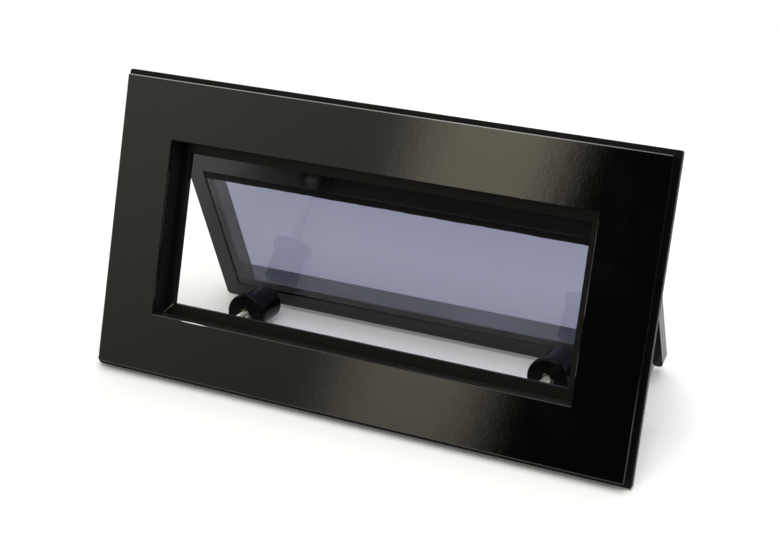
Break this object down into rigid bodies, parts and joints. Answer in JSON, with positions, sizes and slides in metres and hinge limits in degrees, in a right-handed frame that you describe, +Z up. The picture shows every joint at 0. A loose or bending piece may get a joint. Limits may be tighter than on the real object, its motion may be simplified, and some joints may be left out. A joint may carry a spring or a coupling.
{
  "type": "opening portlight",
  "caption": "Rectangular opening portlight: black trim ring and flanged frame, top-hinged sash with tinted glass standing open, and swing bolts with round knobs that clamp the sash shut.",
  "frame": {"origin": "middle of the opening, in the plane of the flange's face that lies against the wall", "axes": "+X across to the right seen from outside, +Y into the room, +Z up"},
  "size_m": [0.371, 0.1393, 0.196],
  "materials": {
    "black_satin_paint": "satin black paint with a slight orange peel",
    "black_sash_paint": "satin black paint",
    "seal_rubber": "matt black rubber",
    "sealant": "matt black glazing sealant",
    "tinted_glass": "blue-grey tinted clear glass",
    "bare_steel": "bare stainless steel",
    "black_knob_plastic": "satin black moulded plastic",
    "brass": "turned brass"
  },
  "bodies": {
    "frame": {"trim_ring": "black_satin_paint", "main_frame": "black_satin_paint", "sash_frame": "black_sash_paint", "frame_seal": "seal_rubber", "glazing_sealant": "sealant", "glass_pane": "tinted_glass", "hinge_bracket_left": "black_satin_paint", "hinge_arm_left": "black_sash_paint", "hinge_pin_left": "bare_steel", "dog_lug_left": "black_satin_paint", "dog_pin_left": "bare_steel", "hinge_bracket_right": "black_satin_paint", "hinge_arm_right": "black_sash_paint", "hinge_pin_right": "bare_steel", "dog_lug_right": "black_satin_paint", "dog_pin_right": "bare_steel"},
    "dog_left": {"dog_bolt_left": "bare_steel"},
    "knob_left": {"dog_knob_left": "black_knob_plastic", "knob_insert_left": "brass"},
    "dog_right": {"dog_bolt_right": "bare_steel"},
    "knob_right": {"dog_knob_right": "black_knob_plastic", "knob_insert_right": "brass"}
  },
  "joints": [
    {"name": "dog_swing_left", "type": "hinge", "parent": "frame", "child": "dog_left", "pos_m": [-0.117, 0.0174, -0.072], "axis": [1, 0, 0], "range_deg": [-104.5, 0]},
    {"name": "knob_turn_left", "type": "hinge", "parent": "dog_left", "child": "knob_left", "pos_m": [-0.117, 0.0174, -0.072], "axis": [0, 0.9681, 0.2504], "continuous": true},
    {"name": "dog_swing_right", "type": "hinge", "parent": "frame", "child": "dog_right", "pos_m": [0.1035, 0.0174, -0.072], "axis": [1, 0, 0], "range_deg": [-104.5, 0]},
    {"name": "knob_turn_right", "type": "hinge", "parent": "dog_right", "child": "knob_right", "pos_m": [0.1035, 0.0174, -0.072], "axis": [0, 0.9681, 0.2504], "continuous": true}
  ]
}
